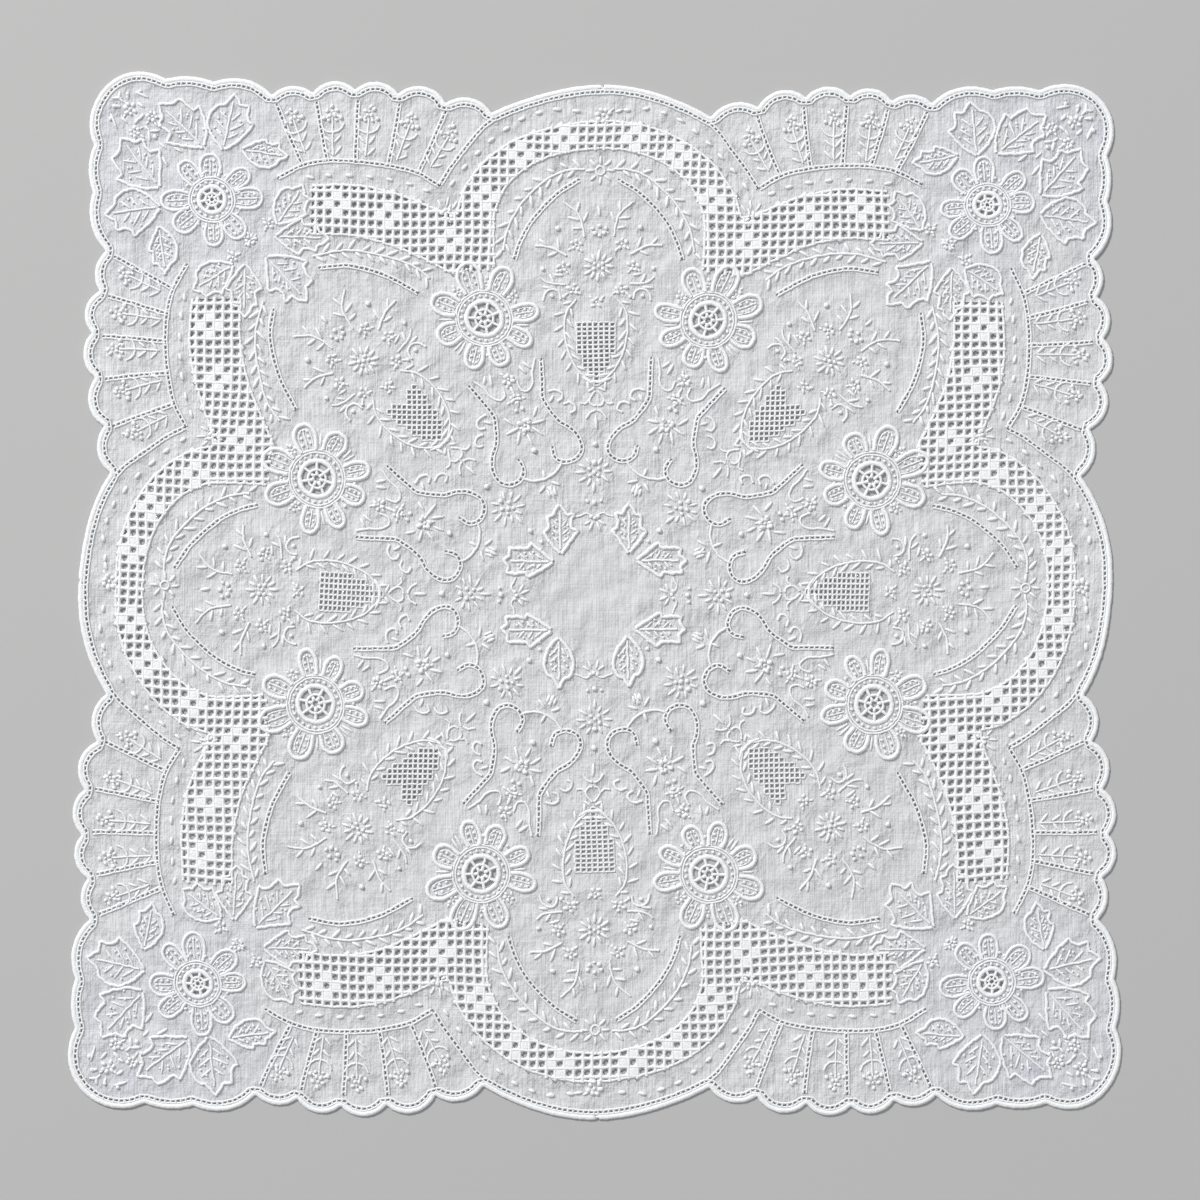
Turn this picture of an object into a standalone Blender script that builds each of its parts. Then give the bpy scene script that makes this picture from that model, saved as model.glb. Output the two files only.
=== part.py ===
"""A square linen handkerchief with a scalloped edge, laid out flat.

The handkerchief is one piece of fine cloth, so it is one solid: a thin flat sheet with the outline of
its embroidered edge. Each side has a wide arch at its middle, a fan of five narrow scallops on each
side of the arch and two shallow scallops beside the rounded corner. All sizes are in metres; the
tables are in millimetres. The sheet lies on the plane z = 0, with its origin under its middle.
"""

import math

import bpy
from mathutils import Vector

MM = 0.001

SHEET_THICKNESS = 1.0 * MM
HALF_SIDE = 163.0 * MM
POINT_SPACING = 2.4 * MM
SIDES = 4

# The points where two scallops meet, from the middle of a side to its corner, in millimetres:
# distance along the side, distance out from the middle of the cloth, and how far the scallop
# that ends there bulges past the straight line between its two points.
SCALLOPS = (
    # along, out, bulge
    (35.3, 153.2, 9.5),
    (50.6, 156.1, 3.2),
    (66.0, 159.3, 3.8),
    (80.1, 160.6, 3.3),
    (93.6, 159.0, 3.3),
    (106.6, 158.0, 2.5),
    (126.1, 162.6, 2.9),
    (141.4, 163.2, 1.4),
)
CORNER_BULGE = 11.7

# The worked cloth is pulled a little out of true by its stitching and washing. Each row is a place
# on the cloth (-1, 0 or 1 across, then up) and how far it has moved, in millimetres. The middle of
# the cloth stays where it is.
PULLS = (
    # across, up, moved right, moved up
    (-1, -1, -1.5, 3.5),
    (-1, 0, -1.0, 4.0),
    (-1, 1, 6.0, 1.0),
    (0, -1, 1.0, -3.5),
    (0, 1, 2.5, -1.0),
    (1, -1, 2.0, 3.5),
    (1, 0, 2.0, 4.0),
    (1, 1, -0.5, -3.0),
)

LINEN_COLOUR = (0.66, 0.67, 0.68, 1.0)
LINEN_ROUGHNESS = 0.9


def weight(node, place):
    """How strongly a pull at -1, 0 or 1 acts at a place between -1 and 1: a parabola through all three."""
    if node == 0:
        return 1.0 - place * place
    return place * (place + node) / 2.0


def pulled(point):
    """A point of the true square pattern, moved to where it lies on the real cloth."""
    across = point.x / HALF_SIDE
    up = point.y / HALF_SIDE
    moved = point.copy()
    for node_across, node_up, right, upward in PULLS:
        share = weight(node_across, across) * weight(node_up, up)
        moved += share * Vector((right, upward)) * MM
    return moved


def arc(start, end, bulge):
    """Points from start up to, but not including, end, on an arc that bulges to the left of the way."""
    chord = end - start
    middle = (start + end) / 2
    left = Vector((-chord.y, chord.x)).normalized()
    radius = (chord.length_squared / 4 + bulge * bulge) / (2 * bulge)
    centre = middle + left * (bulge - radius)
    opening = 2 * math.asin(chord.length / (2 * radius))
    steps = max(3, round(radius * opening / POINT_SPACING))
    first = start - centre
    points = []
    for step in range(steps):
        turn = -opening * step / steps
        cosine = math.cos(turn)
        sine = math.sin(turn)
        points.append(centre + Vector((
            first.x * cosine - first.y * sine,
            first.x * sine + first.y * cosine,
        )))
    return points


def top_side():
    """The top side from left to right: the points where scallops meet and the bulge after each one."""
    right_half = [Vector((along, out)) * MM for along, out, bulge in SCALLOPS]
    left_half = [Vector((-point.x, point.y)) for point in reversed(right_half)]
    bulges = [bulge * MM for along, out, bulge in SCALLOPS]
    after_left = list(reversed(bulges))
    after_right = bulges[1:] + [CORNER_BULGE * MM]
    return left_half + right_half, after_left + after_right


def outline():
    """The whole edge, clockwise from the left end of the top side."""
    side_points, side_bulges = top_side()
    corners = []
    bulges = []
    for side in range(SIDES):
        for point, bulge in zip(side_points, side_bulges):
            turned = point.copy()
            for quarter in range(side):
                turned = Vector((turned.y, -turned.x))
            corners.append(turned)
            bulges.append(bulge)
    points = []
    for index, start in enumerate(corners):
        end = corners[(index + 1) % len(corners)]
        points += arc(start, end, bulges[index])
    return [pulled(point) for point in points]


def linen():
    """Fine white linen."""
    material = bpy.data.materials.new("linen")
    material.use_nodes = True
    shader = material.node_tree.nodes["Principled BSDF"]
    shader.inputs["Base Color"].default_value = LINEN_COLOUR
    shader.inputs["Roughness"].default_value = LINEN_ROUGHNESS
    shader.inputs["Metallic"].default_value = 0.0
    return material


def handkerchief(collection):
    """The flat sheet: a filled 2D curve of the edge, given its thickness by an extrude."""
    curve = bpy.data.curves.new("handkerchief", "CURVE")
    curve.dimensions = "2D"
    curve.fill_mode = "BOTH"
    curve.extrude = SHEET_THICKNESS / 2
    edge = outline()
    spline = curve.splines.new("POLY")
    spline.points.add(len(edge) - 1)
    for spline_point, place in zip(spline.points, edge):
        spline_point.co = (place.x, place.y, 0.0, 1.0)
    spline.use_cyclic_u = True
    sheet = bpy.data.objects.new("handkerchief", curve)
    sheet.location.z = SHEET_THICKNESS / 2
    curve.materials.append(linen())
    collection.objects.link(sheet)
    return sheet


for old in list(bpy.data.objects):
    bpy.data.objects.remove(old, do_unlink=True)

cloth_collection = bpy.data.collections.new("linen_handkerchief")
bpy.context.scene.collection.children.link(cloth_collection)
handkerchief(cloth_collection)
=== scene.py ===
# %% [markdown]
# # A whitework handkerchief
# This lesson makes a square handkerchief of fine linen with a scalloped edge, drawn-thread bands and
# white cotton embroidery, lying flat on a pale table. The first cell loads the frame: the plain flat
# sheet that the finished cloth has to fit.

# %% Load the frame
import math
import random

import bmesh
import bpy
import numpy as np
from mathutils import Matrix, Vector
from mathutils.geometry import delaunay_2d_cdt
from mathutils.kdtree import KDTree


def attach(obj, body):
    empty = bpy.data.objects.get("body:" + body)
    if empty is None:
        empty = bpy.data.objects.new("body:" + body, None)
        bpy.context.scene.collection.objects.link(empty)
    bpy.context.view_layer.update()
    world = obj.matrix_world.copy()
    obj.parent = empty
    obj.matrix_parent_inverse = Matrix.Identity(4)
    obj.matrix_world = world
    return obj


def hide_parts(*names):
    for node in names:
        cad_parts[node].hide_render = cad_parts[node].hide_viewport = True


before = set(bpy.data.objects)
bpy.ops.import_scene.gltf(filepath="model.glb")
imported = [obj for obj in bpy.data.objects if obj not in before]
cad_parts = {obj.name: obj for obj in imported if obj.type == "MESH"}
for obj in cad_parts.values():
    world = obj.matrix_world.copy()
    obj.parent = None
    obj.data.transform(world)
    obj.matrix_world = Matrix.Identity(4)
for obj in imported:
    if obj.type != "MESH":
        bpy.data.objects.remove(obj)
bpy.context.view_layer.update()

MM = 0.001
SHEET_NODE = "handkerchief"
print("the frame's nodes:", sorted(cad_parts))

# %% [markdown]
# ## The camera and the table
# The cloth is seen from straight above, so the camera hangs over it with a long lens, which keeps the
# square free of perspective. The lens and the height together set how much of the table shows.

# %% Camera
LENS = 100.0
SENSOR = 36.0
VIEW_WIDTH = 381.0 * MM
VIEW_MIDDLE = (1.9 * MM, -1.5 * MM)

camera_height = VIEW_WIDTH * LENS / SENSOR
bpy.ops.object.camera_add(location=(*VIEW_MIDDLE, camera_height), rotation=(0, 0, 0))
camera = bpy.context.object
camera.name = "camera"
camera.data.lens = LENS
camera.data.sensor_width = SENSOR
bpy.context.scene.camera = camera
print(f"the camera hangs {camera_height:.3f} m above the table")

# %% [markdown]
# ## Light
# Whitework is white on white, so only its relief shows it. One wide soft lamp stands low at the upper
# left, where it picks out the left and upper side of every stitch and lets the other side fall into a
# soft shadow. The pale sky of the world fills the shadows. The colours are shown as they are, without
# a film look, so that white thread stays white.

# %% Lights and world
scene = bpy.context.scene
scene.view_settings.view_transform = "Standard"
scene.view_settings.look = "None"


def add_lamp(name, place, size, power, colour):
    """A square area lamp that faces the middle of the cloth."""
    bpy.ops.object.light_add(type="AREA", location=place)
    lamp = bpy.context.object
    lamp.name = name
    lamp.data.shape = "SQUARE"
    lamp.data.size = size
    lamp.data.energy = power
    lamp.data.color = colour
    towards = Vector((0, 0, 0)) - Vector(place)
    lamp.rotation_euler = towards.to_track_quat("-Z", "Y").to_euler()
    return lamp


add_lamp("key_lamp", (-2.0, 2.55, 2.3), 0.6, 158.0, (1.0, 0.996, 0.99))
add_lamp("fill_lamp", (0.9, -0.9, 1.5), 1.4, 5.0, (0.97, 0.985, 1.0))

world = bpy.data.worlds.new("studio")
world.use_nodes = True
scene.world = world
sky = world.node_tree.nodes["Background"]
sky.inputs["Color"].default_value = (0.95, 0.97, 1.0, 1.0)
sky.inputs["Strength"].default_value = 0.355

# %% [markdown]
# ## The table
# The table is one wide plane, a little below the cloth so that the two never fight for one place. Its
# matt grey is only as bright as it needs to be for white linen to stand out.

# %% Table
TABLE_SIZE = 6.0
TABLE_GAP = 0.02 * MM


def plain_material(name, colour, roughness):
    """A material with one Principled shader, and the shader itself."""
    material = bpy.data.materials.new(name)
    material.use_nodes = True
    shader = material.node_tree.nodes["Principled BSDF"]
    shader.inputs["Base Color"].default_value = (*colour, 1.0)
    shader.inputs["Roughness"].default_value = roughness
    return material, shader


bpy.ops.mesh.primitive_plane_add(size=TABLE_SIZE, location=(0, 0, -TABLE_GAP))
table = bpy.context.object
table.name = "table"
table_grey, _ = plain_material("table_grey", (0.49, 0.487, 0.482), 0.9)
table.data.materials.append(table_grey)

# %% [markdown]
# ## Where things lie on the cloth
# An embroiderer draws one eighth of the pattern and pounces it eight times: mirrored, and turned by
# quarters. This lesson does the same. Every place is given in millimetres as (across, up) on the true
# square pattern, in the eighth to the right of the top middle. `copies` gives the other seven.
#
# The finished cloth is pulled a little out of true by the stitching, so `pulled` moves each place from
# the true pattern to where it lies on the real cloth, and `lie` gives the small rise and fall there.
# The table of pulls was not chosen by hand: it is the rounded result of a least-squares fit.

# %% Pattern places
HALF_SIDE = 163.0
PULLS = (
    # across, up, moved right, moved up
    (-1, -1, -1.5, 3.5),
    (-1, 0, -1.0, 4.0),
    (-1, 1, 6.0, 1.0),
    (0, -1, 1.0, -3.5),
    (0, 1, 2.5, -1.0),
    (1, -1, 2.0, 3.5),
    (1, 0, 2.0, 4.0),
    (1, 1, -0.5, -3.0),
)


def weight(node, place):
    """How strongly a pull at -1, 0 or 1 acts at places between -1 and 1."""
    if node == 0:
        return 1.0 - place * place
    return place * (place + node) / 2.0


HAND_SLIP = 0.32
CLOTH_LIE = 0.45
SLOW_SWELL = 0.11
RIPPLE = 0.035


def pulled(points):
    """Places of the true pattern, moved to where they lie on the real cloth, in millimetres."""
    points = np.asarray(points, float).reshape(-1, 2)
    across = points[:, 0] / HALF_SIDE
    up = points[:, 1] / HALF_SIDE
    moved = points.copy()
    for node_across, node_up, right, upward in PULLS:
        share = weight(node_across, across) * weight(node_up, up)
        moved += share[:, None] * np.array((right, upward))
    moved[:, 0] += HAND_SLIP * np.sin(points[:, 1] / 7.9 + 1.2 * np.sin(points[:, 0] / 13.3))
    moved[:, 1] += HAND_SLIP * np.sin(points[:, 0] / 8.7 + 1.2 * np.sin(points[:, 1] / 11.9))
    return moved


def lie(points):
    """How high the cloth's face lies above the table at these places, in millimetres."""
    x = points[:, 0]
    y = points[:, 1]
    slow = np.sin(x / 31.0 + 0.6) * np.cos(y / 37.0 - 0.4) + 0.6 * np.sin((x - 1.3 * y) / 23.0)
    ripple = np.sin((x + y) / 8.7) * np.sin((x - y) / 11.3 + 1.0)
    return CLOTH_LIE + SLOW_SWELL * slow + RIPPLE * ripple


def turned(points, degrees, mirrored=False):
    """Places mirrored in the upright axis if asked, then turned anticlockwise about the middle."""
    points = np.array(points, float).reshape(-1, 2)
    if mirrored:
        points[:, 0] = -points[:, 0]
    cosine = math.cos(math.radians(degrees))
    sine = math.sin(math.radians(degrees))
    return np.stack([
        points[:, 0] * cosine - points[:, 1] * sine,
        points[:, 0] * sine + points[:, 1] * cosine,
    ], axis=1)


EIGHTHS = [(90 * quarter, mirrored) for quarter in range(4) for mirrored in (False, True)]
QUARTERS = [(90 * quarter, False) for quarter in range(4)]
SIXTEENTHS = [(45 * eighth, mirrored) for eighth in range(8) for mirrored in (False, True)]
POINTS_OF_STAR = [(45 * eighth, False) for eighth in range(8)]


def copies(points, turns=EIGHTHS):
    """The copies of a run of places round the cloth."""
    return [turned(points, degrees, mirrored) for degrees, mirrored in turns]


print("the top middle lies at", pulled((0, HALF_SIDE)).round(1).tolist())

# %% [markdown]
# ## Smooth lines
# A line of the pattern is a few given points with a smooth curve through them, resampled at
# even steps so that stitches can be counted along it. Ellipses and straight lines are worked out.

# %% Line helpers
def resample(points, step, closed=False):
    """Points at even steps along a run of places."""
    points = np.asarray(points, float)
    if closed:
        points = np.vstack([points, points[:1]])
    lengths = np.linalg.norm(np.diff(points, axis=0), axis=1)
    distance = np.concatenate([[0.0], np.cumsum(lengths)])
    count = max(2, int(round(distance[-1] / step)) + 1)
    at = np.linspace(0.0, distance[-1], count)
    even = np.stack([np.interp(at, distance, points[:, k]) for k in (0, 1)], axis=1)
    return even[:-1] if closed else even


def smooth(points, step=0.8, closed=False):
    """A smooth curve through given points, resampled at even steps."""
    points = np.asarray(points, float)
    if closed:
        knots = np.vstack([points[-1:], points, points[:2]])
    else:
        knots = np.vstack([2 * points[0] - points[1], points, 2 * points[-1] - points[-2]])
    share = np.linspace(0.0, 1.0, 13)[:-1, None]
    run = []
    for before, start, end, after in zip(knots, knots[1:], knots[2:], knots[3:]):
        run.append(0.5 * (
            2 * start
            + (end - before) * share
            + (2 * before - 5 * start + 4 * end - after) * share ** 2
            + (3 * start - before - 3 * end + after) * share ** 3
        ))
    run = np.vstack(run)
    if not closed:
        run = np.vstack([run, points[-1:]])
    return resample(run, step, closed)


def straight(start, end, step=0.8):
    """An even run of places on a straight line."""
    return resample([start, end], step)


def ellipse(middle, across, up, start, end, step=0.8):
    """Part of an ellipse, from one angle to another in degrees, anticlockwise from the right."""
    angles = np.radians(np.linspace(start, end, 181))
    points = np.stack([middle[0] + across * np.cos(angles), middle[1] + up * np.sin(angles)], axis=1)
    return resample(points, step)


def circle(middle, radius, step=0.8):
    """A closed round of places."""
    angles = np.radians(np.linspace(0, 360, 121)[:-1])
    points = np.stack([middle[0] + radius * np.cos(angles), middle[1] + radius * np.sin(angles)], axis=1)
    return resample(points, step, closed=True)


def directions(points):
    """The direction of travel at each place of a run, as unit vectors."""
    ahead = np.gradient(points, axis=0)
    return ahead / np.maximum(np.linalg.norm(ahead, axis=1, keepdims=True), 1e-9)


def beside(points, distance):
    """A run of places moved sideways to its left."""
    ahead = directions(points)
    return points + distance * np.stack([-ahead[:, 1], ahead[:, 0]], axis=1)


# %% [markdown]
# ## The lines of the pattern
# These are the lines that everything else follows. The scallops of the edge come first, from the
# middle of the top side to the corner; each is a circular arc between two points of the table. Those
# points were not chosen by hand: they come from the same least-squares fit as the pulls. Inside the
# edge run the arch, the fan of narrow panels, the drawn-thread band and the scrolls.

# %% Pattern lines
SCALLOPS = (
    # along, out, bulge
    (35.3, 153.2, 9.5),
    (50.6, 156.1, 3.2),
    (66.0, 159.3, 3.8),
    (80.1, 160.6, 3.3),
    (93.6, 159.0, 3.3),
    (106.6, 158.0, 2.5),
    (126.1, 162.6, 2.9),
    (141.4, 163.2, 1.4),
)
CORNER_BULGE = 11.7


def scallop(start, end, bulge, step=0.8):
    """A circular arc from start to end that bulges to the left of the way."""
    start = np.array(start, float)
    end = np.array(end, float)
    chord = end - start
    width = np.linalg.norm(chord)
    radius = (width * width / 4 + bulge * bulge) / (2 * bulge)
    left = np.array((-chord[1], chord[0])) / width
    centre = (start + end) / 2 + left * (bulge - radius)
    half = math.asin(width / (2 * radius))
    first = math.atan2(start[1] - centre[1], start[0] - centre[0])
    angles = np.linspace(first, first - 2 * half, max(4, int(2 * half * radius / step)))
    return centre + radius * np.stack([np.cos(angles), np.sin(angles)], axis=1)


def edge_run(inset=0.0, step=0.8):
    """The eighth of the edge from the top middle to the corner, moved inwards by inset."""
    points = [(-SCALLOPS[0][0], SCALLOPS[0][1])] + [(along, out) for along, out, _ in SCALLOPS]
    points.append((SCALLOPS[-1][1], SCALLOPS[-1][0]))
    bulges = [bulge for _, _, bulge in SCALLOPS] + [CORNER_BULGE]
    run = []
    for start, end, bulge in zip(points, points[1:], bulges):
        arc = scallop(start, end, bulge, step)
        run.append(beside(arc, -inset))
    run = np.vstack(run)
    inside = (run[:, 0] >= -0.4) & (run[:, 1] >= run[:, 0] - 0.4)
    return run[inside]


ARCH_MIDDLE = (0.0, 118.0)
arch_pin = smooth([(34.4, 151.4), (38.0, 148.3), (43.0, 142.0), (47.6, 135.9), (50.8, 130.4)])
fan_base = smooth([(51.2, 130.2), (58.4, 134.2), (67.9, 136.2), (78.4, 137.0), (87.5, 137.0), (95.6, 135.6),
                   (103.5, 131.8)])
FAN_DIVIDERS = (
    # outer end, inner end
    ((50.6, 153.2), (58.0, 134.2)),
    ((65.6, 155.9), (67.9, 136.2)),
    ((79.1, 156.9), (78.4, 137.0)),
    ((92.1, 155.9), (87.5, 137.0)),
    ((104.8, 155.0), (95.6, 135.8)),
)
inner_arch_pin = smooth([(6.5, 132.6), (14.0, 127.5), (21.3, 119.5), (25.0, 112.5), (26.6, 107.0)])
lobe_pin = smooth([(89.0, 103.0), (79.5, 104.0), (68.5, 101.2), (57.5, 95.2)])
scroll_leg = straight((17.8, 75.0), (17.0, 62.4), 0.8)
scroll_hook = smooth([(16.6, 61.6), (14.3, 58.4), (11.4, 55.2), (7.8, 53.2), (5.0, 50.2), (4.0, 46.6),
                      (5.3, 43.8), (8.8, 42.3), (12.2, 43.6), (13.2, 47.0)])
scroll = np.vstack([scroll_leg, scroll_hook])
print("the edge has", len(edge_run()), "places in one eighth")

# %% [markdown]
# ## Thread and linen
# Each effect is a node group with named inputs and outputs. `linen weave` makes the uneven threads of
# hand-loomed linen: long thin streaks along the warp and along the weft, which give a tint, a height
# and how closely the cloth covers what lies under it. Its input Worked makes the cloth pucker more
# where stitches draw it in. `thread twist` makes the fine lustre of twisted cotton as a height and a
# tint. `corner blueing`, further on, marks where laundry blue has stayed in the corners.

# %% Node groups
def group_with(name, inputs, outputs):
    """An empty shader node group with float inputs and outputs, and its end nodes."""
    group = bpy.data.node_groups.new(name, "ShaderNodeTree")
    for socket, value in inputs:
        made = group.interface.new_socket(socket, in_out="INPUT", socket_type="NodeSocketFloat")
        made.default_value = value
    for socket in outputs:
        group.interface.new_socket(socket, in_out="OUTPUT", socket_type="NodeSocketFloat")
    return group, group.nodes.new("NodeGroupInput"), group.nodes.new("NodeGroupOutput")


def add_node(tree, kind, **settings):
    """A node with its properties and its input values set."""
    node = tree.nodes.new(kind)
    for key, value in settings.items():
        if hasattr(node, key):
            setattr(node, key, value)
        else:
            node.inputs[key.replace("_", " ")].default_value = value
    return node


def streaks(tree, coordinates, stretch, scale, detail):
    """Noise drawn out along one way: stretch is the size of the coordinates along X, Y and Z."""
    mapping = add_node(tree, "ShaderNodeMapping", Scale=stretch)
    noise = add_node(tree, "ShaderNodeTexNoise", Scale=scale, Detail=detail, Roughness=0.6)
    tree.links.new(coordinates, mapping.inputs["Vector"])
    tree.links.new(mapping.outputs["Vector"], noise.inputs["Vector"])
    return noise.outputs["Fac"]


def mixed(tree, operation, first, second):
    """A Math node fed by sockets or numbers."""
    node = tree.nodes.new("ShaderNodeMath")
    node.operation = operation
    for socket, value in zip(node.inputs, (first, second)):
        if isinstance(value, (int, float)):
            socket.default_value = value
        else:
            tree.links.new(value, socket)
    return node.outputs[0]


def times(tree, first, second):
    """A product of sockets or numbers."""
    return mixed(tree, "MULTIPLY", first, second)


def plus(tree, first, second):
    """A sum of sockets or numbers."""
    return mixed(tree, "ADD", first, second)


def counted_in(tree, width):
    """Object coordinates counted in threads of the width that a socket gives."""
    counted = tree.nodes.new("ShaderNodeVectorMath")
    counted.operation = "SCALE"
    tree.links.new(tree.nodes.new("ShaderNodeTexCoord").outputs["Object"], counted.inputs[0])
    tree.links.new(mixed(tree, "DIVIDE", 1.0, width), counted.inputs["Scale"])
    return counted.outputs[0]


THREAD_WIDTH = 0.0004
SLUB = 0.2
WARP_SHARE = 0.7
WEFT_SHARE = 0.3
PLAIN_PUCKER = 0.4
THREAD_RELIEF = 0.19
CRINKLE_RELIEF = 2.6

weave_group, weave_in, weave_out = group_with(
    "linen weave", [("Thread Width", THREAD_WIDTH), ("Slub", SLUB), ("Worked", 0.0)],
    ["Tint", "Cover", "Height"])
by_thread = counted_in(weave_group, weave_in.outputs["Thread Width"])
warp = streaks(weave_group, by_thread, (1.0, 0.03, 0.0), 1.0, 1.0)
weft = streaks(weave_group, by_thread, (0.03, 1.0, 0.0), 1.0, 1.0)
pucker = streaks(weave_group, by_thread, (0.2, 0.13, 0.0), 1.0, 2.0)
crinkle = streaks(weave_group, by_thread, (0.04, 0.035, 0.0), 1.0, 1.0)
threads = plus(weave_group, times(weave_group, warp, WARP_SHARE), times(weave_group, weft, WEFT_SHARE))
uneven = times(weave_group, mixed(weave_group, "SUBTRACT", pucker, 0.5), weave_in.outputs["Slub"])
slubbed = plus(weave_group, threads, uneven)
drawn_up = plus(weave_group, weave_in.outputs["Worked"], PLAIN_PUCKER)
relief = plus(weave_group, times(weave_group, pucker, drawn_up), times(weave_group, threads, THREAD_RELIEF))
relief = plus(weave_group, relief, times(weave_group, crinkle, CRINKLE_RELIEF))
weave_group.links.new(slubbed, weave_out.inputs["Tint"])
weave_group.links.new(threads, weave_out.inputs["Cover"])
weave_group.links.new(relief, weave_out.inputs["Height"])

STRAND_WIDTH = 0.00028

twist_group, twist_in, twist_out = group_with(
    "thread twist", [("Strand Width", STRAND_WIDTH)], ["Tint", "Height"])
by_strand = counted_in(twist_group, twist_in.outputs["Strand Width"])
strands = streaks(twist_group, by_strand, (0.5, 0.5, 0.5), 1.0, 3.0)
twist_group.links.new(strands, twist_out.inputs["Tint"])
twist_group.links.new(strands, twist_out.inputs["Height"])

# %% [markdown]
# ## Two finishes
# The linen is off-white and a little see-through, so the table shows softly between its threads. The
# embroidery cotton is whiter, closes over what is under it and has a faint sheen. Both take a colour
# from a dark to a light one by their group's tint, and a bump from its height.

# %% Finishes
TINT_SPREAD = (0.3, 0.7)
BUMP_STRENGTH = 0.8


def finish_from(name, group, values, dark, light, roughness, distance):
    """A Principled finish whose colour and bump come from a node group's Tint and Height."""
    material, shader = plain_material(name, light, roughness)
    tree = material.node_tree
    worked = tree.nodes.new("ShaderNodeGroup")
    worked.node_tree = group
    for socket, value in values.items():
        worked.inputs[socket].default_value = value
    ramp = tree.nodes.new("ShaderNodeValToRGB")
    ramp.color_ramp.elements[0].position = TINT_SPREAD[0]
    ramp.color_ramp.elements[0].color = (*dark, 1.0)
    ramp.color_ramp.elements[1].position = TINT_SPREAD[1]
    ramp.color_ramp.elements[1].color = (*light, 1.0)
    bumped = add_node(tree, "ShaderNodeBump", Strength=BUMP_STRENGTH, Distance=distance)
    tree.links.new(worked.outputs["Tint"], ramp.inputs["Fac"])
    tree.links.new(ramp.outputs["Color"], shader.inputs["Base Color"])
    tree.links.new(worked.outputs["Height"], bumped.inputs["Height"])
    tree.links.new(bumped.outputs["Normal"], shader.inputs["Normal"])
    return material, shader, worked


linen, linen_shader, linen_weave = finish_from(
    "sheer_linen", weave_group, {"Thread Width": THREAD_WIDTH, "Slub": SLUB},
    (0.75, 0.753, 0.76), (0.905, 0.908, 0.914), roughness=0.85, distance=0.0012)
near_stitches = add_node(linen.node_tree, "ShaderNodeAttribute", attribute_name="worked")
linen.node_tree.links.new(near_stitches.outputs["Fac"], linen_weave.inputs["Worked"])
cover = add_node(linen.node_tree, "ShaderNodeMapRange")
for socket, value in (("From Min", 0.35), ("From Max", 0.65), ("To Min", 0.6), ("To Max", 0.78)):
    cover.inputs[socket].default_value = value
linen.node_tree.links.new(linen_weave.outputs["Cover"], cover.inputs["Value"])
linen.node_tree.links.new(cover.outputs["Result"], linen_shader.inputs["Alpha"])

# %% [markdown]
# ## Laundry blue in the corners
# Blueing makes old linen look whiter, and a trace of it has stayed in soft patches near the corners.
# The mask grows with the smaller of the two distances from the middle, so it is strongest in a corner.

# %% Corner blueing
BLUE_FROM = 0.085
BLUE_RISE = 16.0
PATCHES_TO_A_METRE = 60.0
PATCH_START = 0.3
PATCH_STRENGTH = 2.6
BLUE_TINT = (0.93, 0.935, 1.0)

blueing, _, blueing_out = group_with("corner blueing", [], ["Mask"])
blue_place = blueing.nodes.new("ShaderNodeTexCoord").outputs["Object"]
blue_axes = blueing.nodes.new("ShaderNodeSeparateXYZ")
blueing.links.new(blue_place, blue_axes.inputs[0])
towards_corner = mixed(blueing, "MINIMUM", mixed(blueing, "ABSOLUTE", blue_axes.outputs["X"], 0.0),
                       mixed(blueing, "ABSOLUTE", blue_axes.outputs["Y"], 0.0))
near_corner = times(blueing, mixed(blueing, "SUBTRACT", towards_corner, BLUE_FROM), BLUE_RISE)
patches = streaks(blueing, blue_place, (PATCHES_TO_A_METRE, PATCHES_TO_A_METRE, 0.0), 1.0, 1.0)
stained = times(blueing, near_corner, mixed(blueing, "SUBTRACT", patches, PATCH_START))
at_most_one = mixed(blueing, "MINIMUM", times(blueing, stained, PATCH_STRENGTH), 1.0)
blueing.links.new(mixed(blueing, "MAXIMUM", at_most_one, 0.0), blueing_out.inputs["Mask"])


def blued(material, shader, tint):
    """Turns a finish's colour a little to a tint where the blueing has stayed in the corners."""
    tree = material.node_tree
    stain = tree.nodes.new("ShaderNodeGroup")
    stain.node_tree = blueing
    mix = tree.nodes.new("ShaderNodeMix")
    mix.data_type = "RGBA"
    mix.blend_type = "MULTIPLY"
    mix.inputs["B"].default_value = (*tint, 1.0)
    tree.links.new(stain.outputs["Mask"], mix.inputs["Factor"])
    tree.links.new(shader.inputs["Base Color"].links[0].from_socket, mix.inputs["A"])
    tree.links.new(mix.outputs["Result"], shader.inputs["Base Color"])


blued(linen, linen_shader, BLUE_TINT)

# %% Embroidery cotton
cotton, cotton_shader, _ = finish_from(
    "embroidery_cotton", twist_group, {"Strand Width": STRAND_WIDTH},
    (0.86, 0.868, 0.878), (0.95, 0.955, 0.963), roughness=0.6, distance=0.0003)
cotton_shader.inputs["Sheen Weight"].default_value = 0.15
cotton_shader.inputs["Sheen Roughness"].default_value = 0.4
print("finishes:", linen.name, cotton.name)

# %% [markdown]
# ## How the stitches are made
# Two helpers make nearly all the embroidery. `work_cords` lays a rounded thread along every run that it
# is given: a curve with a bevel is Blender's natural thread. Its height is then pressed flat and set on
# the cloth. `work_stitches` takes one small stitch, modelled once, and repeats it at each place with its
# own turn and size, joined in one mesh.

# %% Stitch helpers
BODY = "root"
chance = random.Random(41)


def deselect_all():
    """Nothing selected, so that the next operator acts only on what is chosen for it."""
    if bpy.context.object and bpy.context.object.mode != "OBJECT":
        bpy.ops.object.mode_set(mode="OBJECT")
    bpy.ops.object.select_all(action="DESELECT")


def select_only(piece):
    """One object selected and active."""
    deselect_all()
    piece.select_set(True)
    bpy.context.view_layer.objects.active = piece


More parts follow.
